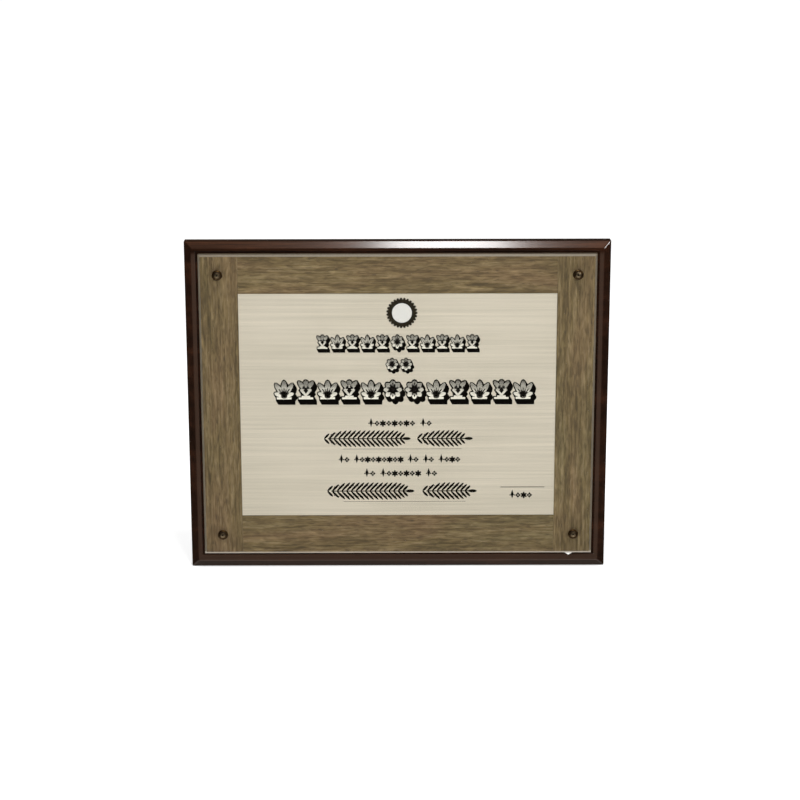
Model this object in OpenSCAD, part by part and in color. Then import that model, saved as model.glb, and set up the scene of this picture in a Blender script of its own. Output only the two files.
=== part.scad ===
// Wall plaque. A bevelled walnut board carries a certificate sheet inside a border of four veneer
// strips. A clear acrylic cover lies over them, held by four brass screws in cup washers, and two
// keyhole plates on the back hang the plaque upright or on its side.
// X runs to the right, Z up and -Y forward. The origin is the centre of the flat back.

/* [Board] */
// Width of the board
board_w = 381; // [340:1:460]
// Height of the board
board_h = 304.8; // [270:0.1:380]
// Thickness of the square edge, from the back to the start of the bevel
edge_t = 10.5; // [9.5:0.5:13]
// Width of the bevel, seen from the front
bevel_w = 6.5; // [4:0.5:8]
// Rise of the bevel above the square edge
bevel_rise = 4.5; // [4:0.5:6]
// Width of the flat ledge between the bevel and the recess, where the recess is centred
ledge_w = 4; // [2.5:0.1:5]
// Gap between the recess wall and what lies in it
shadow_gap = 2.2; // [1:0.1:3]

/* [Insert] */
// Height of the insert's middle above the board's middle
insert_lift = 2; // [-2:0.5:2]
// Thickness of the backing card
card_t = 1; // [0.6:0.1:1.2]
// Thickness of the veneer strips of the border
strip_t = 0.8; // [0.7:0.1:1]
// Width of the two upright veneer strips
stile_w = 35; // [28:1:44]
// Width of the two level veneer strips
rail_w = 36; // [28:1:44]
// Thickness of the certificate sheet
sheet_t = 0.5; // [0.3:0.1:0.5]
// Gap that the strips and the sheet leave between them
fitting_gap = 0.1; // [0.05:0.05:0.3]

/* [Seal] */
// Diameter of the seal to the tips of its scallops
seal_d = 28; // [20:1:34]
// Number of scallops round the seal
seal_scallops = 27; // [20:1:36]
// Diameter of the blank paper label on the seal
label_d = 17.8; // [12:0.2:19]
// Distance of the seal to the right of the middle
seal_x = 3.8; // [-20:0.1:20]
// Distance of the seal above the insert's middle
seal_z = 86; // [70:1:87]

/* [Cover] */
// Thickness of the acrylic cover
cover_t = 4.5; // [3:0.5:6]
// Width of the chamfer round the cover's front
cover_chamfer = 1.9; // [0.5:0.1:2]
// Width of the small V-shaped nib on the cover's bottom edge
nib_w = 8; // [4:0.5:12]
// Distance of the nib to the right of the middle
nib_x = 157; // [100:0.5:160]

/* [Cover screws] */
// Distance of the screws from the cover's left and right edges
screw_inset_x = 17; // [12:0.5:22]
// Distance of the screws from the cover's top and bottom edges
screw_inset_z = 18.5; // [12:0.5:24]
// Diameter of the screw's shank
shank_d = 2.84; // [2.5:0.01:3]
// Diameter of the screw's oval head
head_d = 5.7; // [5.5:0.1:6]
// Length of the screw behind the cover's front
screw_l = 14; // [13:0.5:15]
// Outer diameter of the cup washer
washer_d = 9.5; // [8.5:0.1:12]
// Height of the cup washer
washer_h = 1.7; // [1.6:0.1:2]

/* [Keyhole hangers] */
// Length of a hanger plate, between its round ends' tips
plate_l = 46; // [44:1:50]
// Width of a hanger plate
plate_w = 16; // [14:1:20]
// Thickness of a hanger plate
plate_t = 1.2; // [1:0.1:1.5]
// Diameter of the hole that lets a wall screw's head in
keyhole_d = 9.5; // [8.5:0.1:10]
// Width of the slot that grips the wall screw's neck
slot_w = 4.6; // [4:0.1:5]
// Length of the slot, from the middle of the head hole to the middle of its round end
slot_l = 11; // [9:1:12]
// Depth of the pocket behind the plate, from the board's back
pocket_depth = 9; // [7:0.5:9]
// Distance from the board's edge to the middle of the plate
hanger_inset = 36; // [30:1:50]

/* [Hidden] */
$fn = 64;

// The parts are drawn lying on their backs, with z as the distance in front of the board's back.
front_z = edge_t + bevel_rise;
recess_z = front_z - card_t - strip_t;
card_front_z = recess_z + card_t;
sheet_front_z = card_front_z + sheet_t;
cover_front_z = front_z + cover_t;

recess_w = board_w - 2 * (bevel_w + ledge_w);
recess_h = board_h - 2 * (bevel_w + ledge_w);
insert_w = recess_w - 2 * shadow_gap;
insert_h = recess_h - 2 * shadow_gap;
window_w = insert_w - 2 * stile_w;
window_h = insert_h - 2 * rail_w;

screw_x = insert_w / 2 - screw_inset_x;
screw_y = insert_h / 2 - screw_inset_z;
shank_r = shank_d / 2;
head_r = head_d / 2;
running_gap = 0.05;
pilot_r = shank_r + running_gap;
pilot_depth = 0.6;
clearance_r = 1.8;

foil_t = 0.15;
label_t = 0.07;
scallop_r = 1.1;
scallop_root = 0.3;

nib_drop = 2.4;
nib_lift = 0.3;
nib_t = 1.8;

seat_gap = 0.12;
washer_bore_r = 1.6;
washer_rim = 0.3;
washer_lip = 0.18;
dome_rise = 0.75;
head_band = 0.07;
tip_l = 3;
tip_r = 0.2;
recess_slot_l = 3.2;
recess_slot_w = 0.75;
recess_slot_depth = 1;

slot_start = -5;
hanger_hole_pitch = 34;
hanger_hole_r = 1.5;
hanger_head_r = 2.9;
hanger_head_gap = 0.1;
hanger_shank_r = 1.25;
hanger_screw_l = 9;
pocket_r = keyhole_d / 2 + 1;
cut = 1;

module stand() {
    rotate([90, 0, 0]) children();
}

// A slab whose front edges are planed off all round, with mitred corners.
module bevelled_slab(w, h, side, bevel, rise) {
    intersection() {
        rotate([90, 0, 0]) linear_extrude(height = h, center = true) bevel_profile(w, side, bevel, rise);
        rotate([90, 0, 90]) linear_extrude(height = w, center = true) bevel_profile(h, side, bevel, rise);
    }
}

module bevel_profile(w, side, bevel, rise) {
    polygon([[-w / 2, 0], [w / 2, 0], [w / 2, side], [w / 2 - bevel, side + rise],
        [bevel - w / 2, side + rise], [-w / 2, side]]);
}

module block(w, h, t) {
    translate([-w / 2, -h / 2, 0]) cube([w, h, t]);
}

// Moves what lies in the recess to its height on the board.
module lift_insert() {
    translate([0, insert_lift, 0]) children();
}

module at_screws() {
    for (sx = [-1, 1])
        for (sy = [-1, 1])
            translate([sx * screw_x, sy * screw_y, 0]) children();
}

module screw_clearance() {
    at_screws() cylinder(h = cover_front_z + cut, r = clearance_r);
}

// Puts a hanger where it belongs: the top one's slot points up, and the side one's to the right.
module at_top_hanger() {
    translate([0, board_h / 2 - hanger_inset, 0]) children();
}

module at_side_hanger() {
    translate([board_w / 2 - hanger_inset, 0, 0]) rotate(-90) children();
}

module at_hangers() {
    at_top_hanger() children();
    at_side_hanger() children();
}

module at_hanger_screws() {
    for (end = [-1, 1]) translate([0, end * hanger_hole_pitch / 2, 0]) children();
}

module back_board() {
    color("#3c2318") stand() difference() {
        bevelled_slab(board_w, board_h, edge_t, bevel_w, bevel_rise);
        lift_insert() {
            translate([0, 0, recess_z]) block(recess_w, recess_h, front_z);
            translate([0, 0, cover_front_z - screw_l - pilot_depth]) at_screws()
                cylinder(h = front_z, r = pilot_r);
        }
        at_hangers() {
            translate([0, 0, -cut]) plate_outline_solid(fitting_gap, plate_t + cut);
            translate([0, 0, -cut]) pocket(pocket_depth + cut);
            at_hanger_screws() {
                cylinder(h = hanger_screw_l + running_gap, r = hanger_shank_r + running_gap);
                hanger_countersink();
            }
        }
    }
}

module pocket(depth) {
    for (y = [slot_start, slot_start + slot_l])
        translate([0, y, 0]) cylinder(h = depth, r = pocket_r);
    translate([-pocket_r, slot_start, 0]) cube([2 * pocket_r, slot_l, depth]);
}

module plate_outline_solid(gap, t) {
    straight = (plate_l - plate_w) / 2;
    for (y = [-straight, straight]) translate([0, y, 0]) cylinder(h = t, r = plate_w / 2 + gap);
    translate([-plate_w / 2 - gap, -straight, 0]) cube([plate_w + 2 * gap, 2 * straight, t]);
}

module keyhole_plate() {
    color("#b9bcc0") difference() {
        plate_outline_solid(0, plate_t);
        translate([0, slot_start, -cut]) cylinder(h = plate_t + 2 * cut, r = keyhole_d / 2);
        translate([0, slot_start + slot_l, -cut]) cylinder(h = plate_t + 2 * cut, r = slot_w / 2);
        translate([-slot_w / 2, slot_start, -cut]) cube([slot_w, slot_l, plate_t + 2 * cut]);
        at_hanger_screws() {
            translate([0, 0, -cut]) cylinder(h = plate_t + 2 * cut, r = hanger_hole_r);
            hanger_countersink();
        }
    }
}

module hanger_countersink() {
    mouth_r = hanger_head_r + hanger_head_gap;
    cylinder(h = mouth_r, r1 = mouth_r, r2 = 0);
}

module keyhole_plate_top() {
    stand() at_top_hanger() keyhole_plate();
}

module keyhole_plate_side() {
    stand() at_side_hanger() keyhole_plate();
}

// Flat-headed screws that hold the hanger plates, heads flush with the back.
module hanger_screws() {
    color("#a9acb0") stand() at_hangers() at_hanger_screws() difference() {
        rotate_extrude() polygon([[0, 0], [hanger_head_r, 0],
            [hanger_shank_r, hanger_head_r - hanger_shank_r],
            [hanger_shank_r, hanger_screw_l - tip_l], [0, hanger_screw_l]]);
        cross_recess(0);
    }
}

// The cross-shaped drive recess of a screw, cut down from the head's top at the given height.
module cross_recess(top) {
    for (turn = [0, 90]) rotate(turn)
        translate([-recess_slot_l / 2, -recess_slot_w / 2, top - recess_slot_depth])
            cube([recess_slot_l, recess_slot_w, 2 * recess_slot_depth]);
}

module backing_card() {
    color("#8b7355") stand() lift_insert() difference() {
        translate([0, 0, recess_z]) block(insert_w, insert_h, card_t);
        screw_clearance();
    }
}

module border_stile(side) {
    color("#7d7050") stand() lift_insert() difference() {
        translate([side * (insert_w - stile_w) / 2, 0, card_front_z]) block(stile_w, insert_h, strip_t);
        screw_clearance();
    }
}

module border_rail(side) {
    color("#75684a") stand() lift_insert() translate([0, side * (insert_h - rail_w) / 2, card_front_z])
        block(window_w - 2 * fitting_gap, rail_w, strip_t);
}

module certificate_sheet() {
    color("#d4cdba") stand() lift_insert() translate([0, 0, card_front_z])
        block(window_w - 2 * fitting_gap, window_h - 2 * fitting_gap, sheet_t);
}

module seal_foil() {
    scallop_pitch_r = seal_d / 2 - scallop_r;
    color("#26231f") stand() lift_insert() translate([seal_x, seal_z, sheet_front_z])
        linear_extrude(height = foil_t) union() {
            circle(r = scallop_pitch_r - scallop_root);
            for (i = [0 : seal_scallops - 1]) rotate(i * 360 / seal_scallops)
                translate([scallop_pitch_r, 0]) circle(r = scallop_r, $fn = 24);
        }
}

module seal_label() {
    color("#f2efe8") stand() lift_insert() translate([seal_x, seal_z, sheet_front_z + foil_t])
        cylinder(h = label_t, r = label_d / 2);
}

module acrylic_cover() {
    color("#dfe8e6", 0.3) stand() lift_insert() difference() {
        union() {
            translate([0, 0, front_z])
                bevelled_slab(insert_w, insert_h, cover_t - cover_chamfer, cover_chamfer, cover_chamfer);
            translate([nib_x, -insert_h / 2, front_z + nib_lift]) linear_extrude(height = nib_t)
                polygon([[-nib_w / 2, 0], [0, -nib_drop], [nib_w / 2, 0],
                    [nib_w / 2, cut], [-nib_w / 2, cut]]);
        }
        screw_clearance();
    }
}

// Turned cup washer: a flat foot, a domed flank and a conical seat for the screw's head.
module cup_washer(sx, sy) {
    crown_r = head_r + 0.45;
    flank_w = washer_d / 2 - crown_r;
    flank_h = washer_h - washer_rim;
    flank = [for (a = [0 : 15 : 90]) [crown_r + flank_w * cos(a), washer_rim + flank_h * sin(a)]];
    seat_top_r = shank_r + washer_h;
    color("#6b5530") stand() lift_insert() translate([sx * screw_x, sy * screw_y, cover_front_z])
        rotate_extrude() polygon(concat([[washer_bore_r, 0], [washer_d / 2, 0]], flank,
            [[seat_top_r, washer_h], [washer_bore_r, washer_lip]]));
}

// Oval-headed cross-recess screw. Its head's cone stands just clear of the washer's seat.
module cover_screw(sx, sy) {
    cone_z = seat_gap;
    band_z = cone_z + head_r - shank_r;
    dome_z = band_z + head_band;
    dome_r = (head_r * head_r + dome_rise * dome_rise) / (2 * dome_rise);
    dome_angle = asin(head_r / dome_r);
    dome_steps = 6;
    dome = [for (i = [0 : dome_steps])
        let (a = dome_angle * (1 - i / dome_steps))
            [dome_r * sin(a), dome_z + dome_rise + dome_r * (cos(a) - 1)]];
    color("#7a5f36") stand() lift_insert()
        translate([sx * screw_x, sy * screw_y, cover_front_z]) difference() {
        rotate_extrude() polygon(concat([[0, -screw_l], [tip_r, -screw_l], [shank_r, tip_l - screw_l],
            [shank_r, cone_z], [head_r, band_z]], dome));
        cross_recess(dome_z + dome_rise);
    }
}

back_board();
backing_card();
border_stile(-1);  // border_stile_left
border_stile(1);  // border_stile_right
border_rail(1);  // border_rail_top
border_rail(-1);  // border_rail_bottom
certificate_sheet();
seal_foil();
seal_label();
acrylic_cover();
cup_washer(-1, 1);  // cup_washer_top_left
cup_washer(1, 1);  // cup_washer_top_right
cup_washer(-1, -1);  // cup_washer_bottom_left
cup_washer(1, -1);  // cup_washer_bottom_right
cover_screw(-1, 1);  // cover_screw_top_left
cover_screw(1, 1);  // cover_screw_top_right
cover_screw(-1, -1);  // cover_screw_bottom_left
cover_screw(1, -1);  // cover_screw_bottom_right
keyhole_plate_top();
keyhole_plate_side();
hanger_screws();
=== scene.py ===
import math

import bpy
from mathutils import Matrix, Vector


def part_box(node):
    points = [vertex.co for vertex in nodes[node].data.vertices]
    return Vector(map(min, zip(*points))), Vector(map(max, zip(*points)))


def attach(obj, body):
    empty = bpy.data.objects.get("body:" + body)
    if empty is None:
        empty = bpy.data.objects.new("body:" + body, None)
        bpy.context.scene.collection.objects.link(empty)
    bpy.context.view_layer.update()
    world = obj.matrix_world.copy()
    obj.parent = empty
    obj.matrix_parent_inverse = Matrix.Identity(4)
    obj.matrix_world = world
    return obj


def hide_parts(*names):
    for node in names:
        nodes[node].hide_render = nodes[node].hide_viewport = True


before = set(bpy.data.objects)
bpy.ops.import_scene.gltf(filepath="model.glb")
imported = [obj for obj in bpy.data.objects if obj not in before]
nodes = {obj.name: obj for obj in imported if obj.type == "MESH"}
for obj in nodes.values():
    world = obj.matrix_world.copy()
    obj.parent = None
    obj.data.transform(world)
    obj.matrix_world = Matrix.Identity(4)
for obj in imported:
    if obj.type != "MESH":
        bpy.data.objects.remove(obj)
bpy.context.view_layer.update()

mm = 0.001


# ---- The back board --------------------------------------------------------------------------
# One slab of walnut-faced board, stained dark. Its front edges are run through a bevel cutter and
# meet in mitres, the arrises are eased by hand, and the whole is lacquered to a gloss. The narrow
# flat inside the bevel is painted paler, a painted sheen of reflected light, but not along the top.
board_low, board_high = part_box("back_board")
card_low, card_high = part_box("backing_card")
board_front = board_low.y
recess_floor = card_high.y


def pick(piece):
    """Leaves object mode with this piece alone selected and active."""
    if bpy.context.object and bpy.context.object.mode != "OBJECT":
        bpy.ops.object.mode_set(mode="OBJECT")
    bpy.ops.object.select_all(action="DESELECT")
    piece.select_set(True)
    bpy.context.view_layer.objects.active = piece


def edit(piece, select="DESELECT", mode="EDGE"):
    """Enters edit mode on this piece, with everything or nothing selected."""
    pick(piece)
    bpy.ops.object.mode_set(mode="EDIT")
    bpy.ops.mesh.select_mode(type=mode)
    bpy.ops.mesh.select_all(action=select)


def apply_modifiers(piece):
    pick(piece)
    for modifier in list(piece.modifiers):
        bpy.ops.object.modifier_apply(modifier=modifier.name)


def cut_from(node, name):
    """A piece cut to a CAD node's shape: a welded copy of its mesh with only the real edges left."""
    piece = bpy.data.objects.new(name, nodes[node].data.copy())
    bpy.context.scene.collection.objects.link(piece)
    edit(piece, "SELECT")
    bpy.ops.mesh.remove_doubles(threshold=0.001 * mm)
    bpy.ops.mesh.dissolve_limited(angle_limit=math.radians(0.5))
    bpy.ops.object.mode_set(mode="OBJECT")
    return piece


def ease_edges(piece, width, share, segments=4):
    """Rounds the edges of a piece. share(a, b) says how much of the width an edge gets, from 0 to 1."""
    mesh = piece.data
    weights = mesh.attributes.new("bevel_weight_edge", "FLOAT", "EDGE")
    for edge in mesh.edges:
        a, b = (mesh.vertices[i].co for i in edge.vertices)
        weights.data[edge.index].value = share(a, b)
    bevel = piece.modifiers.new("eased edges", "BEVEL")
    bevel.limit_method = "WEIGHT"
    bevel.width = width
    bevel.segments = segments
    bevel.use_clamp_overlap = False
    apply_modifiers(piece)
    smooth(piece)


def smooth(piece, angle=32):
    """Smooth shading over soft edges, with the large flat faces kept truly flat."""
    pick(piece)
    bpy.ops.object.shade_smooth_by_angle(angle=math.radians(angle))
    flat = piece.modifiers.new("flat faces", "WEIGHTED_NORMAL")
    flat.keep_sharp = True
    flat.weight = 100
    apply_modifiers(piece)


def near(value, target):
    return abs(value - target) < 0.05 * mm


def outside_card(point):
    return max(point.x - card_high.x, card_low.x - point.x, point.z - card_high.z, card_low.z - point.z)


def board_edge_share(a, b):
    """The shoulder above the bevel is well rounded, the rim of the recess less, the rest only softened."""
    if min(outside_card(a), outside_card(b)) < mm or any(near(p.y, recess_floor) for p in (a, b)):
        return 0
    at_front = [near(p.y, board_front) for p in (a, b)]
    if all(at_front):
        return 0.75 if max(outside_card(a), outside_card(b)) > 3 * mm else 0.4
    return 0.75 if any(at_front) else 0.4


def add_node(tree, kind, **values):
    """Adds a shader node and sets its settings, or its inputs where the name is that of a socket."""
    made = tree.nodes.new(kind)
    for name, value in values.items():
        if name[0].islower():
            setattr(made, name, value)
        else:
            made.inputs[name.replace("_", " ")].default_value = value
    return made


def ramp(tree, factor, stops):
    """A colour ramp through (place, colour) stops, driven by the given socket."""
    made = tree.nodes.new("ShaderNodeValToRGB")
    elements = made.color_ramp.elements
    while len(elements) < len(stops):
        elements.new(0.5)
    for element, (place, colour) in zip(elements, stops):
        element.position = place
        element.color = (*colour, 1)
    tree.links.new(factor, made.inputs["Fac"])
    return made.outputs["Color"]


def mix(tree, factor, first, second, blend="MIX"):
    """Mixes two colours. Each is a socket or a plain colour, and the factor a socket or a number."""
    made = tree.nodes.new("ShaderNodeMix")
    made.data_type = "RGBA"
    made.blend_type = blend
    for index, value in ((0, factor), (6, first), (7, second)):
        if isinstance(value, bpy.types.NodeSocket):
            tree.links.new(value, made.inputs[index])
        elif index:
            made.inputs[index].default_value = (*value, 1)
        else:
            made.inputs[index].default_value = value
    return made.outputs[2]


def spread(tree, value, low, high, to_low, to_high):
    """Stretches a value from one range to another, and holds it there."""
    made = add_node(
        tree, "ShaderNodeMapRange", From_Min=low, From_Max=high, To_Min=to_low, To_Max=to_high)
    tree.links.new(value, made.inputs["Value"])
    return made.outputs["Result"]


def maths(tree, operation, first, second=0.0):
    """A maths node with the given operation on two values, each a socket or a number."""
    made = add_node(tree, "ShaderNodeMath", operation=operation)
    for index, value in enumerate((first, second)):
        if isinstance(value, bpy.types.NodeSocket):
            tree.links.new(value, made.inputs[index])
        else:
            made.inputs[index].default_value = value
    return made.outputs[0]


def axes(tree, vector):
    """The X, Y and Z of a vector, taken apart."""
    made = tree.nodes.new("ShaderNodeSeparateXYZ")
    tree.links.new(vector, made.inputs[0])
    return made.outputs


def stretched_noise(tree, vector, scale, detail, distortion=0.0):
    """Noise drawn out by a different amount along each axis. Scale is in waves a metre."""
    mapping = add_node(tree, "ShaderNodeMapping", Scale=scale)
    noise = add_node(tree, "ShaderNodeTexNoise", Scale=1.0, Detail=detail, Distortion=distortion)
    tree.links.new(vector, mapping.inputs["Vector"])
    tree.links.new(mapping.outputs["Vector"], noise.inputs["Vector"])
    return noise.outputs["Fac"]


def new_group(name, inputs, outputs):
    """A shader node group with its sockets, each given as a name and a kind."""
    group = bpy.data.node_groups.new(name, "ShaderNodeTree")
    for direction, sockets in (("INPUT", inputs), ("OUTPUT", outputs)):
        for label, kind in sockets:
            group.interface.new_socket(label, in_out=direction, socket_type=kind)
    return group, group.nodes.new("NodeGroupInput"), group.nodes.new("NodeGroupOutput")


def build_wood_grain():
    """Wood cut along the grain, which runs along X: broad figure, fine fibres and open pores."""
    group, came, goes = new_group(
        "wood_grain", [("Vector", "NodeSocketVector")],
        [("Figure", "NodeSocketFloat"), ("Fibre", "NodeSocketFloat"), ("Pore", "NodeSocketFloat")])
    vector = came.outputs["Vector"]
    figure = stretched_noise(group, vector, (7, 75, 75), 3, 0.5)
    fibre = stretched_noise(group, vector, (28, 1100, 1100), 4, 0.15)
    pore = stretched_noise(group, vector, (120, 2600, 2600), 1)
    group.links.new(figure, goes.inputs["Figure"])
    group.links.new(fibre, goes.inputs["Fibre"])
    group.links.new(spread(group, pore, 0.60, 0.72, 0, 1), goes.inputs["Pore"])
    return group


wood_grain = build_wood_grain()


def new_material(name, **values):
    """A material, its node tree and its Principled shader, with the plain values set on the shader."""
    material = bpy.data.materials.new(name)
    material.use_nodes = True
    tree = material.node_tree
    shader = tree.nodes["Principled BSDF"]
    for label, value in values.items():
        shader.inputs[label.replace("_", " ")].default_value = value
    return material, tree, shader


def object_place(tree, turn=(0, 0, 0)):
    """Object coordinates, turned so that a pattern can run along another axis."""
    place = tree.nodes.new("ShaderNodeTexCoord").outputs["Object"]
    if not any(turn):
        return place
    mapping = add_node(tree, "ShaderNodeMapping", Rotation=turn)
    tree.links.new(place, mapping.inputs["Vector"])
    return mapping.outputs["Vector"]


def group_in(tree, group, vector):
    """Places a node group in a material's tree, fed with the vector."""
    made = tree.nodes.new("ShaderNodeGroup")
    made.node_tree = group
    tree.links.new(vector, made.inputs["Vector"])
    return made.outputs


def bump(tree, shader, height, distance, strength=1.0):
    """Relief of the given depth in metres, on the shader's normal."""
    made = add_node(tree, "ShaderNodeBump", Distance=distance, Strength=strength)
    tree.links.new(height, made.inputs["Height"])
    tree.links.new(made.outputs["Normal"], shader.inputs["Normal"])


def dress(piece, material):
    piece.data.materials.clear()
    piece.data.materials.append(material)


def lacquered_walnut():
    material, tree, shader = new_material(
        "lacquered_walnut", Specular_IOR_Level=0.2, Specular_Tint=(1.0, 0.45, 0.24, 1),
        Coat_Weight=0.75, Coat_Roughness=0.135, Coat_IOR=1.5)
    place = object_place(tree)
    grain = group_in(tree, wood_grain, place)
    figure = ramp(tree, grain["Figure"], [
        (0.30, (0.007, 0.0023, 0.0010)), (0.50, (0.016, 0.0052, 0.0022)), (0.72, (0.034, 0.0110, 0.0044))])
    streaks = ramp(tree, grain["Fibre"], [(0.30, (0.45, 0.42, 0.40)), (0.70, (1.35, 1.30, 1.25))])
    stained = mix(tree, 1.0, figure, streaks, "MULTIPLY")
    pores = mix(tree, grain["Pore"], stained, (0.002, 0.0012, 0.001))
    at = axes(tree, place)
    # The narrow flat inside the bevel is painted paler, a painted sheen of reflected light, except along
    # the top.
    on_flat = spread(tree, at["Y"], board_front + 0.4 * mm, board_front + 0.05 * mm, 0, 0.65)
    below_top = spread(tree, at["Z"], board_high.z - 9 * mm, board_high.z - 12 * mm, 0, 1)
    painted_sheen = maths(tree, "MULTIPLY", on_flat, below_top)
    tree.links.new(mix(tree, painted_sheen, pores, (0.046, 0.029, 0.021)), shader.inputs["Base Color"])
    tree.links.new(spread(tree, grain["Fibre"], 0.3, 0.7, 0.50, 0.36), shader.inputs["Roughness"])
    bump(tree, shader, spread(tree, grain["Pore"], 0, 1, 1, 0), 0.03 * mm, 0.6)
    return material


board = cut_from("back_board", "walnut_board")
ease_edges(board, 1.6 * mm, board_edge_share)
dress(board, lacquered_walnut())
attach(board, "board")
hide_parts("back_board")


# ---- The backing card ------------------------------------------------------------------------
# Stiff grey-brown card, cut to the size of the cover and laid in the recess. Only its edge shows,
# as a thin line under the veneer, and its face once the cover and the border are off.
def mounting_card():
    material, tree, shader = new_material("mounting_card", Roughness=0.9)
    place = object_place(tree)
    layers = stretched_noise(tree, place, (200, 6000, 200), 2)
    flecks = stretched_noise(tree, place, (900, 900, 900), 3)
    tint = ramp(tree, flecks, [(0.35, (0.20, 0.155, 0.11)), (0.65, (0.33, 0.27, 0.20))])
    tree.links.new(mix(tree, spread(tree, layers, 0.4, 0.6, 0, 0.35), tint, (0.14, 0.11, 0.08)),
                   shader.inputs["Base Color"])
    bump(tree, shader, flecks, 0.05 * mm, 0.5)
    return material


dress(nodes["backing_card"], mounting_card())


# ---- The veneer border -----------------------------------------------------------------------
# Four strips of weathered grey-brown oak veneer, butted at the corners. The stiles run the full
# height with their grain upright, and the rails lie between them with their grain level.
def weathered_oak(name, turn, shift):
    material, tree, shader = new_material(name)
    moved = add_node(tree, "ShaderNodeVectorMath", operation="ADD")
    moved.inputs[1].default_value = shift
    tree.links.new(object_place(tree, turn), moved.inputs[0])
    vector = moved.outputs["Vector"]
    grain = group_in(tree, wood_grain, vector)
    broad = stretched_noise(tree, vector, (5, 26, 26), 2, 0.8)
    streak = stretched_noise(tree, vector, (22, 300, 300), 3, 0.9)
    fleck = stretched_noise(tree, vector, (85, 400, 400), 2, 0.7)
    figure = ramp(tree, streak, [
        (0.28, (0.090, 0.059, 0.018)), (0.48, (0.136, 0.089, 0.032)), (0.66, (0.195, 0.134, 0.058))])
    warmed = mix(tree, spread(tree, broad, 0.48, 0.66, 0, 0.60), figure, (0.180, 0.106, 0.048))
    greyed = mix(tree, spread(tree, broad, 0.46, 0.32, 0, 0.25), warmed, (0.112, 0.096, 0.036))
    grainy = mix(tree, 1.0, greyed, ramp(tree, fleck, [
        (0.33, (0.76, 0.75, 0.68)), (0.50, (1.04, 1.04, 1.03)), (0.66, (1.36, 1.38, 1.42))]), "MULTIPLY")
    fibres = ramp(tree, grain["Fibre"], [(0.30, (0.80, 0.79, 0.77)), (0.70, (1.18, 1.19, 1.20))])
    fibred = mix(tree, 1.0, grainy, fibres, "MULTIPLY")
    cracked = mix(tree, grain["Pore"], fibred, (0.045, 0.032, 0.016))
    tree.links.new(cracked, shader.inputs["Base Color"])
    tree.links.new(spread(tree, grain["Fibre"], 0.3, 0.7, 0.78, 0.62), shader.inputs["Roughness"])
    bump(tree, shader, mix(tree, grain["Pore"], grain["Fibre"], (0, 0, 0)), 0.08 * mm, 0.7)
    return material


upright = (0, math.radians(90), 0)
for node, turn, shift in (
    ("border_stile_left", upright, (0.3, 0.1, 0.2)), ("border_stile_right", upright, (0.9, 0.4, 0.7)),
    ("border_rail_top", (0, 0, 0), (1.7, 0.2, 0.1)), ("border_rail_bottom", (0, 0, 0), (2.6, 0.6, 0.5)),
):
    strip = cut_from(node, node.replace("border", "veneer"))
    ease_edges(strip, 0.06 * mm, lambda a, b: 1 if (a - b).length > 20 * mm else 0, 2)
    dress(strip, weathered_oak(f"oak_{node}", turn, shift))
    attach(strip, "board")
    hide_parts(node)


# ---- The certificate sheet -------------------------------------------------------------------
# A thin sheet of champagne-coloured aluminium, brushed along its width and lightly lacquered, so
# that it has a soft sheen with fine level lines.
def build_brushing():
    """Fine scratches that run along X, at two widths, as one value round 0.5."""
    group, came, goes = new_group(
        "brushing", [("Vector", "NodeSocketVector")],
        [("Scratch", "NodeSocketFloat"), ("Band", "NodeSocketFloat")])
    fine = stretched_noise(group, came.outputs["Vector"], (9, 2600, 2600), 3)
    band = stretched_noise(group, came.outputs["Vector"], (6, 420, 420), 2)
    group.links.new(fine, goes.inputs["Scratch"])
    group.links.new(band, goes.inputs["Band"])
    return group


brushing = build_brushing()


def champagne_sheet():
    material, tree, shader = new_material("champagne_sheet", Metallic=0.25, Anisotropic=0.4)
    place = object_place(tree)
    lines = group_in(tree, brushing, place)
    cloud = stretched_noise(tree, place, (9, 9, 14), 2)
    tone = ramp(tree, cloud, [(0.35, (0.650, 0.580, 0.472)), (0.65, (0.690, 0.615, 0.505))])
    bands = ramp(tree, lines["Band"], [(0.3, (0.93, 0.93, 0.92)), (0.7, (1.06, 1.06, 1.06))])
    scratches = ramp(tree, lines["Scratch"], [(0.3, (0.93, 0.93, 0.92)), (0.7, (1.07, 1.07, 1.07))])
    banded = mix(tree, 1.0, tone, bands, "MULTIPLY")
    scratched = mix(tree, 1.0, banded, scratches, "MULTIPLY")
    tree.links.new(scratched, shader.inputs["Base Color"])
    tree.links.new(spread(tree, lines["Scratch"], 0.3, 0.7, 0.56, 0.44), shader.inputs["Roughness"])
    bump(tree, shader, lines["Scratch"], 0.012 * mm, 0.5)
    return material


dress(nodes["certificate_sheet"], champagne_sheet())


# ---- The printed ornament --------------------------------------------------------------------
# Black ink, screen printed on the sheet: three friezes of light-faced palmettes and flowers with a
# heavy drop shadow, two rows of laurel sprays, and rows of tiny sprigs and beads. No lettering.
sheet_low, sheet_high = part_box("certificate_sheet")
sheet_middle = (sheet_low + sheet_high) / 2
sheet_front = sheet_low.y
ink_film = 0.03 * mm
ink_face = sheet_front - ink_film
to_front = math.radians(90)


def printing_ink():
    material, tree, shader = new_material("printing_ink", Specular_IOR_Level=0.05)
    flow = stretched_noise(tree, object_place(tree), (500, 500, 500), 3)
    tree.links.new(ramp(tree, flow, [(0.35, (0.0030, 0.0022, 0.0016)), (0.65, (0.0075, 0.0058, 0.0044))]),
                   shader.inputs["Base Color"])
    tree.links.new(spread(tree, flow, 0.35, 0.65, 0.45, 0.6), shader.inputs["Roughness"])
    bump(tree, shader, flow, 0.01 * mm, 0.4)
    return material


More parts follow.
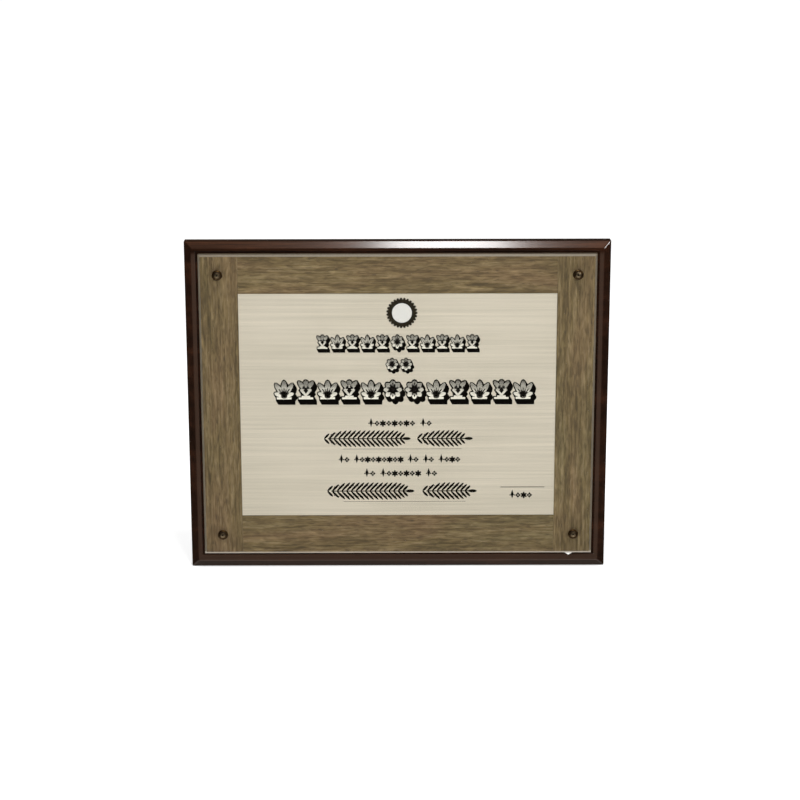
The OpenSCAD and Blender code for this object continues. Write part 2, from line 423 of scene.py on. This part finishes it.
def hatched_face():
    """The light face of the frieze, shaded towards its top by level hatching lines."""
    material, tree, shader = new_material("hatched_face", Roughness=0.5)
    hatch_lines = 17
    height = axes(tree, tree.nodes.new("ShaderNodeUVMap").outputs["UV"])["Y"]
    across_line = maths(tree, "FRACT", maths(tree, "MULTIPLY", height, hatch_lines))
    inked = maths(tree, "LESS_THAN", across_line, spread(tree, height, 0.10, 0.95, 0.0, 0.85))
    lines = group_in(tree, brushing, object_place(tree))
    bare = ramp(tree, lines["Band"], [(0.3, (0.72, 0.67, 0.56)), (0.7, (0.82, 0.77, 0.66))])
    tree.links.new(mix(tree, inked, bare, (0.020, 0.016, 0.012)), shader.inputs["Base Color"])
    return material


ink = printing_ink()
light_face = hatched_face()


def block(width, height, x=0.0, z=0.0):
    """A flat rectangle that faces forward."""
    bpy.ops.mesh.primitive_plane_add(size=1, location=(x, 0, z), rotation=(to_front, 0, 0))
    made = bpy.context.object
    made.scale = (width, height, 1)
    return made


def disc(width, height, x=0.0, z=0.0, lean=0.0, corners=24):
    """A flat ellipse, or a lozenge if it has four corners, that leans to the right."""
    bpy.ops.mesh.primitive_circle_add(
        vertices=corners, radius=0.5, fill_type="NGON", location=(x, 0, z), rotation=(to_front, lean, 0))
    made = bpy.context.object
    made.scale = (width, height, 1)
    return made


def leaf(length, width, lean, x=0.0, z=0.0, grow=0.0, corners=12):
    """A leaf that stands on the given foot and leans to the right."""
    lean = math.radians(lean)
    return disc(width + 2 * grow, length + 2 * grow, x + math.sin(lean) * length / 2,
                z + math.cos(lean) * length / 2, lean, corners)


def joined(pieces, name):
    """Joins shapes into one piece, with its place in its mesh."""
    pick(pieces[0])
    for piece in pieces[1:]:
        piece.select_set(True)
    if len(pieces) > 1:
        bpy.ops.object.join()
    made = bpy.context.object
    bpy.ops.object.transform_apply(location=True, rotation=True, scale=True)
    made.name = name
    return made


def palmette(w, h, grow):
    """A fan of five leaves that rises from a slab and a bud."""
    foot = -0.34 * h
    leaves = [leaf(0.83 * h, 0.30 * w, 0, 0, foot, grow)]
    for side in (-1, 1):
        leaves.append(leaf(0.86 * w, 0.27 * w, side * 34, 0, foot, grow))
        leaves.append(leaf(0.55 * w, 0.25 * w, side * 72, 0, foot, grow))
    slab = block(0.80 * w + 2 * grow, 0.11 * h + 2 * grow, 0, -0.445 * h)
    return leaves + [slab, disc(0.34 * w + 2 * grow, 0.24 * h + 2 * grow, 0, foot)]


def palmette_core(w, h):
    """The dark bud and midribs of a palmette."""
    foot = -0.34 * h
    ribs = [leaf(0.40 * w, 0.07 * w, side * 34, side * 0.09 * w, foot + 0.1 * h, corners=6)
            for side in (-1, 0, 1)]
    return ribs + [disc(0.14 * w, 0.10 * h, 0, foot)]


def star_flower(w, h, grow):
    """Eight leaves round an eye: long ones up and down, short ones between."""
    leaves = []
    for lean, length in ((0, 0.5 * h), (90, 0.5 * w), (45, 0.52 * w)):
        for turn in (lean, lean + 180) + ((lean + 90, lean + 270) if lean == 45 else ()):
            leaves.append(leaf(length, 0.30 * w, turn, 0, 0, grow))
    return leaves + [disc(0.42 * w + 2 * grow, 0.42 * w + 2 * grow)]


def star_flower_core(w, h):
    return [disc(0.26 * w, 0.26 * w), disc(0.08 * w, 0.22 * h, 0, 0.30 * h, corners=4),
            disc(0.08 * w, 0.22 * h, 0, -0.30 * h, corners=4)]


def urn(w, h, grow):
    """A lozenge urn between a stepped foot and a bud, with a leaf on each side."""
    steps = [block(0.78 * w + 2 * grow, 0.10 * h + 2 * grow, 0, -0.45 * h),
             block(0.46 * w + 2 * grow, 0.10 * h + 2 * grow, 0, -0.36 * h)]
    body = [disc(0.66 * w + 2.6 * grow, 0.70 * h + 2.6 * grow, 0, -0.02 * h, corners=4)]
    leaves = [leaf(0.56 * w, 0.24 * w, side * 40, side * 0.05 * w, 0.04 * h, grow) for side in (-1, 1)]
    return steps + body + leaves + [disc(0.24 * w + 2 * grow, 0.24 * h + 2 * grow, 0, 0.38 * h)]


def urn_core(w, h):
    return [disc(0.26 * w, 0.34 * h, 0, -0.04 * h, corners=4)]


def sweep(piece, vector):
    """Draws a flat shape or a line out sideways in its own plane, as a pen nib or a shadow does."""
    edit(piece, "SELECT", "VERT")
    bpy.ops.mesh.extrude_region_move(TRANSFORM_OT_translate={"value": vector})
    bpy.ops.object.mode_set(mode="OBJECT")


def print_flat(piece, material, face, film):
    """Turns every face of a flat shape forward, puts it on the sheet, and gives the ink its thickness."""
    edit(piece, "SELECT", "FACE")
    bpy.ops.mesh.dissolve_degenerate(threshold=0.002 * mm)
    bpy.ops.mesh.select_all(action="DESELECT")
    bpy.ops.object.mode_set(mode="OBJECT")
    for polygon in piece.data.polygons:
        polygon.select = polygon.normal.y > 0
    bpy.ops.object.mode_set(mode="EDIT")
    bpy.ops.mesh.flip_normals()
    bpy.ops.mesh.select_all(action="SELECT")
    bpy.ops.transform.translate(value=(sheet_middle.x, face, sheet_middle.z))
    bpy.ops.object.mode_set(mode="OBJECT")
    thick = piece.modifiers.new("ink film", "SOLIDIFY")
    thick.thickness = film
    thick.offset = -1
    apply_modifiers(piece)
    dress(piece, material)
    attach(piece, "board")


def copy_at(piece, x, z):
    """A copy with its own mesh, moved to its place."""
    made = piece.copy()
    made.data = piece.data.copy()
    made.data.transform(Matrix.Translation((x, 0, z)))
    bpy.context.scene.collection.objects.link(made)
    return made


def height_map(piece, low, height):
    """A UV map whose V runs from 0 at the foot of a row to 1 at its top."""
    layer = piece.data.uv_layers.active or piece.data.uv_layers.new(name="height")
    for loop in piece.data.loops:
        point = piece.data.vertices[loop.vertex_index].co
        layer.data[loop.index].uv = (point.x / height, (point.z - low) / height)


def frieze(name, pattern, left, right, top, bottom):
    """A row of ornament in three layers: black bodies with a drop shadow, light faces, dark cores."""
    tall = top - bottom
    shadow = Vector((0.10, 0, -0.17)) * tall
    outline = 0.044 * tall
    pitch = (right - left) / len(pattern)
    width = 1.08 * pitch - shadow.x - 2 * outline
    height = tall + shadow.z - 2 * outline
    middle = top - outline - height / 2
    layers = {"body": [], "face": [], "core": []}
    for kind, core_kind in sorted(set(pattern), key=pattern.index):
        drawn = {"body": joined(kind(width, height, outline), name + "_body"),
                 "face": joined(kind(width, height, 0.0), name + "_face"),
                 "core": joined(core_kind(width, height), name + "_core")}
        sweep(drawn["body"], shadow)
        for place, wanted in enumerate(pattern):
            if wanted == (kind, core_kind):
                x = left + (place + 0.5) * pitch - shadow.x / 2
                for layer, piece in drawn.items():
                    layers[layer].append(copy_at(piece, x, middle))
        for piece in drawn.values():
            bpy.data.objects.remove(piece)
    for depth, (layer, pieces) in enumerate(layers.items()):
        piece = joined(pieces, f"{name}_{layer}")
        if layer == "face":
            height_map(piece, middle - height / 2, height)
        print_flat(piece, light_face if layer == "face" else ink, ink_face - depth * ink_film, ink_film)


fan, flower, vase = (palmette, palmette_core), (star_flower, star_flower_core), (urn, urn_core)
frieze("upper_frieze", [vase, fan] * 2 + [vase, flower, vase] + [fan, vase] * 2,
       -73.6 * mm, 74.5 * mm, 66.6 * mm, 49.6 * mm)
frieze("middle_frieze", [flower, flower], -10.7 * mm, 14.5 * mm, 45.0 * mm, 29.8 * mm)
frieze("lower_frieze", [fan, vase] * 2 + [fan, flower, flower, fan] + [vase, fan] * 2,
       -111.4 * mm, 124.4 * mm, 25.0 * mm, 1.2 * mm)


def laurel(name, left, right, middle, height, sprays):
    """A row of laurel sprays: pairs of leaves and berries along a straight stem, shorter at its ends."""
    pitch = 4.3 * mm
    drawn = []
    for start, end in sprays:
        first, last = left + start * (right - left), left + end * (right - left)
        drawn.append(block(last - first - 0.4 * height, 0.9 * mm, (first + last) / 2, middle))
        count = int((last - first - 0.42 * height) / pitch) + 1
        for place in range(count):
            x = first + place * pitch
            full = min(1, 0.62 + 0.16 * min(place, count - 1 - place))
            for side in (-1, 1):
                lean = 90 - side * 46
                drawn.append(leaf(0.66 * height * full, 0.125 * height, lean, x, middle, corners=14))
                drawn.append(disc(mm, mm, x + 0.5 * pitch, middle + side * 0.30 * height * full, corners=8))
        drawn.append(leaf(0.46 * height, 0.17 * height, 90, last - 0.42 * height, middle, corners=14))
    print_flat(joined(drawn, name), ink, ink_face, ink_film)


laurel("upper_laurel", -67.0 * mm, 67.5 * mm, -30.8 * mm, 16.6 * mm, [(0, 0.58), (0.63, 1)])
laurel("lower_laurel", -64.5 * mm, 71.5 * mm, -80.6 * mm, 17.4 * mm, [(0, 0.58), (0.64, 1)])


def small_row(name, left, right, top, bottom, groups):
    """A row of tiny ornament: each group opens with a tall lozenge, then flowers and quatrefoils."""
    tall = top - bottom
    waist = bottom + 0.40 * tall
    step = (right - left) / (sum(groups) + 0.8 * (len(groups) - 1))
    petals = [leaf(0.37 * tall, 1.8 * mm, lean, 0, waist, corners=8) for lean in range(0, 360, 60)]
    foils = [disc(2.4 * mm, 2.4 * mm, x, waist + z, corners=4)
             for x, z in ((1.4 * mm, 0), (0, 1.4 * mm), (-1.4 * mm, 0), (0, -1.4 * mm))]
    spire = [disc(2.8 * mm, tall, 0, (top + bottom) / 2, corners=4)]
    beads = [disc(1.3 * mm, 1.3 * mm, side * 1.9 * mm, waist, corners=8) for side in (-1, 1)]
    opening, rest = joined(spire + beads, name), [joined(petals, name), joined(foils, name)]
    placed = []
    x = left + step / 2
    for count in groups:
        for place in range(count):
            placed.append(copy_at(rest[place % 2] if place else opening, x, 0))
            x += step
        x += 0.8 * step
    for spent in [opening] + rest:
        bpy.data.objects.remove(spent)
    print_flat(joined(placed, name), ink, ink_face, ink_film)


small_row("first_small_row", -27 * mm, 31 * mm, -11.2 * mm, -19.9 * mm, [8, 2])
small_row("second_small_row", -54 * mm, 57 * mm, -45.4 * mm, -54.1 * mm, [2, 9, 2, 2, 4])
small_row("third_small_row", -31 * mm, 36 * mm, -58.6 * mm, -67.3 * mm, [2, 7, 2])
small_row("date_row", 102 * mm, 123 * mm, -79.4 * mm, -88.2 * mm, [4])


def rule(name, left, right, z, weight):
    line = joined([block(right - left, weight, (left + right) / 2, z)], name)
    print_flat(line, ink, ink_face + 0.01 * mm, 0.5 * ink_film)


rule("upper_rule", -50 * mm, 58 * mm, -40.6 * mm, 0.3 * mm)
rule("lower_rule", -50 * mm, 62 * mm, -90.6 * mm, 0.3 * mm)
rule("date_rule", 93.6 * mm, 134 * mm, -77 * mm, 0.55 * mm)


# ---- The seal --------------------------------------------------------------------------------
# A die-cut disc of black foil paper with a scalloped edge, embossed with two raised rings and a
# bead at each scallop. A blank round label of white paper is stuck on its middle.
foil_low, foil_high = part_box("seal_foil")
label_low, label_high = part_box("seal_label")
seal_middle = (foil_low + foil_high) / 2
foil_face = foil_low.y
label_r = (label_high.x - label_low.x) / 2
foil_r = (foil_high.x - foil_low.x) / 2


def black_foil():
    material, tree, shader = new_material("black_foil", Specular_IOR_Level=0.12)
    cloud = stretched_noise(tree, object_place(tree), (700, 700, 700), 3)
    tree.links.new(ramp(tree, cloud, [(0.35, (0.012, 0.0085, 0.0035)), (0.65, (0.020, 0.015, 0.0065))]),
                   shader.inputs["Base Color"])
    tree.links.new(spread(tree, cloud, 0.35, 0.65, 0.4, 0.6), shader.inputs["Roughness"])
    bump(tree, shader, cloud, 0.02 * mm, 0.6)
    return material


def white_paper():
    material, tree, shader = new_material("white_paper", Roughness=0.85)
    pulp = stretched_noise(tree, object_place(tree), (1500, 1500, 1500), 4)
    tree.links.new(ramp(tree, pulp, [(0.35, (0.61, 0.585, 0.55)), (0.65, (0.68, 0.655, 0.62))]),
                   shader.inputs["Base Color"])
    bump(tree, shader, pulp, 0.02 * mm, 0.6)
    return material


def embossed_rings():
    """The two raised rings and the beads, pressed up out of the foil."""
    raised = []
    for ring_r, width in ((label_r + 0.9 * mm, 0.35 * mm), (label_r + 2.5 * mm, 0.25 * mm)):
        bpy.ops.mesh.primitive_torus_add(
            major_radius=ring_r, minor_radius=width, major_segments=96, minor_segments=10,
            location=(seal_middle.x, foil_face, seal_middle.z), rotation=(to_front, 0, 0))
        raised.append(bpy.context.object)
        raised[-1].scale = (1, 1, 0.3)
    beads = 27
    bead_r = foil_r - 1.1 * mm
    for bead in range(beads):
        angle = 2 * math.pi * bead / beads
        bpy.ops.mesh.primitive_uv_sphere_add(
            segments=10, ring_count=6, radius=0.55 * mm, rotation=(to_front, 0, 0),
            location=(seal_middle.x + bead_r * math.cos(angle), foil_face,
                      seal_middle.z + bead_r * math.sin(angle)))
        raised.append(bpy.context.object)
        raised[-1].scale = (1, 1, 0.2)
    made = joined(raised, "seal_embossing")
    smooth(made, 60)
    return made


foil = black_foil()
dress(nodes["seal_foil"], foil)
dress(nodes["seal_label"], white_paper())
embossing = embossed_rings()
dress(embossing, foil)
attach(embossing, "board")


# ---- The clear cover -------------------------------------------------------------------------
# A sheet of clear acrylic over the whole insert, its front edge chamfered and polished all round,
# with a small V-shaped nib left on its bottom edge. Four clearance holes take the screws.
cover_low, cover_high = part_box("acrylic_cover")
cover_front = cover_low.y
nib_drop = 2.4 * mm
cover_foot = cover_low.z + nib_drop


def lets_light_through(tree, shader, tint):
    """Makes a material clear to the light that falls through it, so that what lies under it is lit."""
    through = add_node(tree, "ShaderNodeBsdfTransparent", Color=tint)
    rays = tree.nodes.new("ShaderNodeLightPath")
    lighting = maths(tree, "MAXIMUM", rays.outputs["Is Shadow Ray"], rays.outputs["Is Diffuse Ray"])
    choice = tree.nodes.new("ShaderNodeMixShader")
    tree.links.new(lighting, choice.inputs["Fac"])
    tree.links.new(shader.outputs["BSDF"], choice.inputs[1])
    tree.links.new(through.outputs["BSDF"], choice.inputs[2])
    tree.links.new(choice.outputs["Shader"], tree.nodes["Material Output"].inputs["Surface"])


def clear_acrylic():
    material, tree, shader = new_material(
        "clear_acrylic", Base_Color=(0.99, 0.995, 0.99, 1), Transmission_Weight=1.0, IOR=1.49)
    haze = stretched_noise(tree, object_place(tree), (160, 160, 160), 3)
    tree.links.new(spread(tree, haze, 0.45, 0.75, 0.0, 0.03), shader.inputs["Roughness"])
    lets_light_through(tree, shader, (0.96, 0.97, 0.965, 1))
    return material


def cover_edge_share(a, b):
    """Only the straight outer arrises are eased, and not the rims of the holes."""
    past_holes_x, past_holes_z = 170 * mm, 130 * mm
    long_enough = (a - b).length > 3 * mm
    at_side = all(abs(p.x) > past_holes_x or abs(p.z) > past_holes_z for p in (a, b))
    return 1 if long_enough and at_side else 0


def sawn_acrylic():
    """The sawn edge: paler along the bottom, partly matt and partly painted light; a painted glint on the
    nib; a painted reflection of the dark board on the face of the top edge; half polished elsewhere.
    """
    material, tree, shader = new_material("sawn_acrylic", Transmission_Weight=0.3, IOR=1.49)
    place = object_place(tree)
    at = axes(tree, place)
    chatter = stretched_noise(tree, place, (450, 2400, 450), 3)
    polished = ramp(tree, chatter, [(0.35, (0.14, 0.115, 0.080)), (0.65, (0.21, 0.180, 0.130))])
    shaded = ramp(tree, chatter, [(0.35, (0.15, 0.120, 0.075)), (0.65, (0.22, 0.185, 0.130))])
    on_chamfer = spread(tree, at["Y"], cover_front + 2.1 * mm, cover_front + 1.7 * mm, 0, 1)
    # The face of the top edge is painted near black, a painted reflection of the dark board.
    top_edge_painted_reflection = mix(tree, on_chamfer, (0.035, 0.024, 0.014), shaded)
    # Along the bottom the edge is painted pale: partly a matt sawn edge, partly painted light.
    matt_and_painted_light = ramp(tree, chatter, [(0.35, (0.43, 0.375, 0.31)), (0.65, (0.56, 0.50, 0.43))])
    bottom = spread(tree, at["Z"], cover_foot + 2.4 * mm, cover_foot + 1.8 * mm, 0, 1)
    # The nib is painted near white, a painted glint.
    nib_painted_glint = spread(tree, at["Z"], cover_foot + 0.2 * mm, cover_foot - 0.8 * mm, 0, 1)
    top = spread(tree, at["Z"], cover_high.z - 2.4 * mm, cover_high.z - 1.8 * mm, 0, 1)
    edge_tint = mix(tree, bottom, mix(tree, top, polished, top_edge_painted_reflection), matt_and_painted_light)
    tree.links.new(mix(tree, nib_painted_glint, edge_tint, (0.93, 0.91, 0.88)), shader.inputs["Base Color"])
    tree.links.new(spread(tree, chatter, 0.35, 0.65, 0.35, 0.6), shader.inputs["Roughness"])
    bump(tree, shader, chatter, 0.03 * mm, 0.5)
    lets_light_through(tree, shader, (0.85, 0.85, 0.84, 1))
    return material


cover = cut_from("acrylic_cover", "clear_cover")
ease_edges(cover, 0.18 * mm, cover_edge_share, 3)
dress(cover, clear_acrylic())
cover.data.materials.append(sawn_acrylic())
for face in cover.data.polygons:
    if abs(face.normal.y) < 0.9 or face.center.z < cover_foot:
        face.material_index = 1
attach(cover, "cover")
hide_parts("acrylic_cover")


# ---- The cup washers and cover screws --------------------------------------------------------
# Turned cup washers of antiqued brass, and oval-headed cross-recess wood screws in the same
# finish. The brass is chemically darkened, then rubbed back so that the crowns are brighter.
corner_names = ("top_left", "top_right", "bottom_left", "bottom_right")
screw_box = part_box("cover_screw_top_left")
washer_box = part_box("cup_washer_top_left")
washer_r = (washer_box[1].x - washer_box[0].x) / 2
washer_h = washer_box[1].y - washer_box[0].y
head_r = (screw_box[1].x - screw_box[0].x) / 2
head_top = washer_box[1].y - screw_box[0].y
screw_tip = washer_box[1].y - screw_box[1].y
shank_r = 1.42 * mm
core_r = 1.02 * mm
pitch = 1.1 * mm
thread_top = -4.6 * mm
point_l = 3 * mm


def turned(name, profile, closed):
    """A piece turned on a lathe: a profile of (radius, height) points spun about Z."""
    bpy.ops.mesh.primitive_circle_add(vertices=len(profile), radius=1, fill_type="NOTHING")
    made = bpy.context.object
    made.name = name
    for vertex, (radius, height) in zip(made.data.vertices, profile):
        vertex.co = (radius, 0, height)
    if not closed:
        last = len(profile) - 1
        edit(made)
        bpy.ops.object.mode_set(mode="OBJECT")
        for edge in made.data.edges:
            edge.select = set(edge.vertices) == {0, last}
        bpy.ops.object.mode_set(mode="EDIT")
        bpy.ops.mesh.delete(type="EDGE")
        bpy.ops.object.mode_set(mode="OBJECT")
    edit(made, "SELECT", "VERT")
    bpy.ops.mesh.spin(steps=72, angle=2 * math.pi, center=(0, 0, 0), axis=(0, 0, 1))
    bpy.ops.mesh.select_all(action="SELECT")
    bpy.ops.mesh.remove_doubles(threshold=0.002 * mm)
    bpy.ops.mesh.normals_make_consistent(inside=False)
    bpy.ops.object.mode_set(mode="OBJECT")
    return made


def arc(middle_r, middle_h, radius_r, radius_h, start, end, steps):
    """Points along an elliptical arc of a profile, with its angles in degrees."""
    return [(middle_r + radius_r * math.cos(math.radians(start + (end - start) * i / steps)),
             middle_h + radius_h * math.sin(math.radians(start + (end - start) * i / steps)))
            for i in range(steps + 1)]


def washer_profile():
    """A flat foot, a rounded flank, a narrow bright crown and a conical seat."""
    crown_r = head_r + 0.55 * mm
    flank = arc(crown_r, 0.3 * mm, washer_r - crown_r, washer_h - 0.3 * mm, 0, 84, 9)
    lip = arc(head_r + 0.42 * mm, washer_h - 0.13 * mm, 0.13 * mm, 0.13 * mm, 90, 180, 4)
    foot = [(1.6 * mm, 0), (washer_r - 0.08 * mm, 0), (washer_r, 0.08 * mm)]
    return foot + flank + lip + [(1.6 * mm, 0.18 * mm)]


def screw_profile():
    """The point, the thread's core, the plain shank, the head's cone and its oval top."""
    seat = 0.12 * mm
    brim = seat + head_r - shank_r
    rise = head_top - brim - 0.07 * mm
    dome_r = (head_r ** 2 + rise ** 2) / (2 * rise)
    reach = math.asin(head_r / dome_r)
    dome = [(dome_r * math.sin(angle), head_top - dome_r * (1 - math.cos(angle)))
            for angle in (reach * (1 - i / 10) for i in range(11))]
    return [(0, screw_tip), (0.12 * mm, screw_tip + 0.25 * mm), (core_r, screw_tip + point_l),
            (core_r, thread_top - 0.4 * mm), (shank_r, thread_top), (shank_r, seat), (head_r, brim)] + dome


def cut_cross(screw):
    """Punches the tapered cross recess into the head."""
    blades = []
    for turn in (0, 90):
        bpy.ops.mesh.primitive_cube_add(size=1, location=(0, 0, head_top))
        blade = bpy.context.object
        blade.scale = (3.1 * mm, 0.72 * mm, 2.2 * mm)
        bpy.ops.object.transform_apply(location=True, rotation=True, scale=True)
        for vertex in blade.data.vertices:
            if vertex.co.z < head_top:
                vertex.co.x *= 0.42
                vertex.co.y *= 0.62
        blade.data.transform(Matrix.Rotation(math.radians(turn), 4, "Z"))
        blades.append(blade)
    for blade in blades:
        cut = screw.modifiers.new("cross", "BOOLEAN")
        cut.object = blade
        cut.solver = "EXACT"
    apply_modifiers(screw)
    for blade in blades:
        bpy.data.objects.remove(blade)


def thread():
    """The thread: a triangular ridge wound round the core, fading in at the point and out at the top."""
    bpy.ops.mesh.primitive_circle_add(vertices=3, radius=1, fill_type="NOTHING")
    made = bpy.context.object
    foot, root_r = screw_tip + 0.4 * mm, core_r - 0.05 * mm
    ridge = ((root_r, foot), (shank_r, foot + 0.22 * mm), (root_r, foot + 0.44 * mm))
    for vertex, (radius, height) in zip(made.data.vertices, ridge):
        vertex.co = (radius, 0, height)
    turns = int((thread_top - foot) / pitch)
    wound = made.modifiers.new("thread", "SCREW")
    wound.axis = "Z"
    wound.screw_offset = pitch
    wound.iterations = turns
    wound.steps = 20
    wound.render_steps = 20
    apply_modifiers(made)
    for vertex in made.data.vertices:
        x, y, height = vertex.co
        fade = min(1, (height - screw_tip) / point_l)
        fade *= min(1, 0.72 + 0.28 * (foot + turns * pitch - height) / pitch)
        vertex.co = (x * fade, y * fade, height)
    edit(made, "SELECT", "EDGE")
    bpy.ops.mesh.fill_holes(sides=3)
    bpy.ops.mesh.select_all(action="SELECT")
    bpy.ops.mesh.normals_make_consistent(inside=False)
    bpy.ops.object.mode_set(mode="OBJECT")
    return made


def antique_brass():
    """Dark in the hollows and at the foot, brighter where the crown has been rubbed."""
    material, tree, shader = new_material("antique_brass", Metallic=1.0)
    place = object_place(tree)
    patina = stretched_noise(tree, place, (1400, 1400, 1400), 4, 0.4)
    foot, crown = cover_front - washer_h + 0.1 * mm, cover_front - head_top
    raised = spread(tree, axes(tree, place)["Y"], foot, crown, 0, 1)
    rubbed = maths(tree, "MULTIPLY", raised, spread(tree, patina, 0.35, 0.65, 0.35, 1.0))
    dark = ramp(tree, patina, [(0.35, (0.060, 0.032, 0.012)), (0.65, (0.105, 0.062, 0.026))])
    tree.links.new(mix(tree, rubbed, dark, (0.64, 0.52, 0.34)), shader.inputs["Base Color"])
    tree.links.new(spread(tree, patina, 0.35, 0.65, 0.30, 0.42), shader.inputs["Roughness"])
    bump(tree, shader, patina, 0.01 * mm, 0.5)
    return material


washer = turned("cup_washer", washer_profile(), True)
smooth(washer, 50)
screw = turned("cover_screw", screw_profile(), False)
cut_cross(screw)
screw = joined([screw, thread()], "cover_screw")
smooth(screw, 35)
brass = antique_brass()
for corner, quarter in zip(corner_names, (12, 58, 33, 76)):
    low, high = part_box(f"cup_washer_{corner}")
    middle = (low + high) / 2
    for original, name, body, turn in (
        (washer, f"turned_washer_{corner}", f"washer_{corner}", 0),
        (screw, f"wood_screw_{corner}", f"screw_{corner}", quarter),
    ):
        made = copy_at(original, 0, 0)
        made.name = name
        made.data.transform(Matrix.Rotation(math.radians(turn), 4, "Z"))
        made.data.transform(Matrix.Rotation(math.radians(90), 4, "X"))
        made.data.transform(Matrix.Translation((middle.x, cover_front, middle.z)))
        dress(made, brass)
        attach(made, body)
    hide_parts(f"cup_washer_{corner}")
    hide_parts(f"cover_screw_{corner}")
for spent in (washer, screw):
    bpy.data.objects.remove(spent)


# ---- The keyhole hangers ---------------------------------------------------------------------
# Two pressed steel keyhole plates, zinc plated, let in flush with the back. Each is held by two
# flat-headed screws and has a routed pocket behind it for the head of the wall screw.
def zinc_plate():
    material, tree, shader = new_material("zinc_plate", Metallic=1.0)
    place = object_place(tree)
    lines = group_in(tree, brushing, place)
    spangle = add_node(tree, "ShaderNodeTexVoronoi", Scale=420.0)
    tree.links.new(place, spangle.inputs["Vector"])
    grey = ramp(tree, lines["Band"], [(0.3, (0.50, 0.51, 0.52)), (0.7, (0.66, 0.66, 0.65))])
    tree.links.new(mix(tree, 0.08, grey, spangle.outputs["Color"]), shader.inputs["Base Color"])
    tree.links.new(spread(tree, lines["Scratch"], 0.3, 0.7, 0.42, 0.28), shader.inputs["Roughness"])
    bump(tree, shader, lines["Scratch"], 0.01 * mm, 0.4)
    return material


zinc = zinc_plate()
for side in ("top", "side"):
    plate = cut_from(f"keyhole_plate_{side}", f"hanger_plate_{side}")
    ease_edges(plate, 0.12 * mm, lambda a, b: 1 if near(a.y, 0) and near(b.y, 0) else 0, 2)
    dress(plate, zinc)
    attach(plate, "board")
    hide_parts(f"keyhole_plate_{side}")
dress(nodes["hanger_screws"], zinc)


# ---- The studio ------------------------------------------------------------------------------
# A pale, faintly lit floor that runs on out of sight, a softbox in front and above that draws a
# bright patch along the top bevel, a small one for the top right mitre, a soft white surround, and
# a camera a little above the middle of the plaque.
bpy.ops.mesh.primitive_plane_add(size=60, location=(0, 0, board_low.z))
floor = bpy.context.object
floor.name = "floor"
floor_paint, _, floor_shader = new_material("floor_paint", Roughness=0.9)
floor_shader.inputs["Base Color"].default_value = (0.90, 0.90, 0.90, 1)
floor_shader.inputs["Emission Color"].default_value = (1, 1, 1, 1)
floor_shader.inputs["Emission Strength"].default_value = 0.40
floor.data.materials.append(floor_paint)
floor.visible_glossy = False
floor.visible_transmission = False


def softbox(name, place, target, width, height, power):
    bpy.ops.object.light_add(type="AREA", location=place)
    lamp = bpy.context.object
    lamp.name = name
    lamp.data.shape = "RECTANGLE"
    lamp.data.size, lamp.data.size_y = width, height
    lamp.data.energy = power
    lamp.rotation_euler = (Vector(target) - Vector(place)).to_track_quat("-Z", "Y").to_euler()
    lamp.visible_camera = False
    return lamp


top_edge = Vector((0.04, board_front, board_high.z))
reach = 1.2
rise = math.radians(62)
softbox("top_softbox", top_edge + Vector((0.031, -reach * math.cos(rise), reach * math.sin(rise))),
        top_edge, 0.18, 0.55, 11)
corner = Vector((board_high.x, board_front, board_high.z))
glint = softbox("corner_softbox", corner + 1.2 * Vector((0.665, -0.641, 0.384)), corner, 0.12, 0.16, 3.5)
glint.visible_diffuse = False

# The surround lights the plaque evenly. To the eye, and straight through the cover, it is white. In
# reflections it is dark but for a bright band low in front.
world = bpy.data.worlds.new("surround")
bpy.context.scene.world = world
world.use_nodes = True
sky = world.node_tree
rays = sky.nodes.new("ShaderNodeLightPath").outputs
height = axes(sky, sky.nodes.new("ShaderNodeTexCoord").outputs["Generated"])["Z"]
reflected = ramp(sky, spread(sky, height, -1, 1, 0, 1), [
    (0.0, (0.26, 0.24, 0.21)), (0.03, (0.36, 0.34, 0.31)), (0.08, (0.98, 0.95, 0.90)),
    (0.16, (0.85, 0.82, 0.78)), (0.26, (0.06, 0.05, 0.04)), (0.60, (0.03, 0.024, 0.018)),
    (1.0, (0.08, 0.07, 0.06))])
plain = mix(sky, rays["Is Camera Ray"], (0.76, 0.76, 0.76), (1, 1, 1))
bounced = maths(sky, "MAXIMUM", rays["Is Glossy Ray"], rays["Is Transmission Ray"])
bounces = maths(sky, "ADD", rays["Diffuse Depth"], rays["Glossy Depth"])
straight_through = maths(sky, "MULTIPLY", rays["Is Transmission Ray"], spread(sky, bounces, 0, 1, 1, 0))
surround = mix(sky, straight_through, mix(sky, bounced, plain, reflected), (1, 1, 1))
sky.links.new(surround, sky.nodes["Background"].inputs["Color"])

lens_data = bpy.data.cameras.new("camera")
camera = bpy.data.objects.new("camera", lens_data)
bpy.context.scene.collection.objects.link(camera)
lens_data.sensor_width = 36
lens_data.lens = 94.0
turn, look_down, roll = math.radians(-0.20), math.radians(14.58), math.radians(-0.08)
camera.matrix_world = (
    Matrix.Translation((-0.0044, -1.846, 0.4834))
    @ Matrix.Rotation(turn, 4, "Z")
    @ Matrix.Rotation(math.radians(90) - look_down, 4, "X")
    @ Matrix.Rotation(roll, 4, "Z"))
bpy.context.scene.camera = camera
bpy.context.scene.view_settings.view_transform = "Standard"
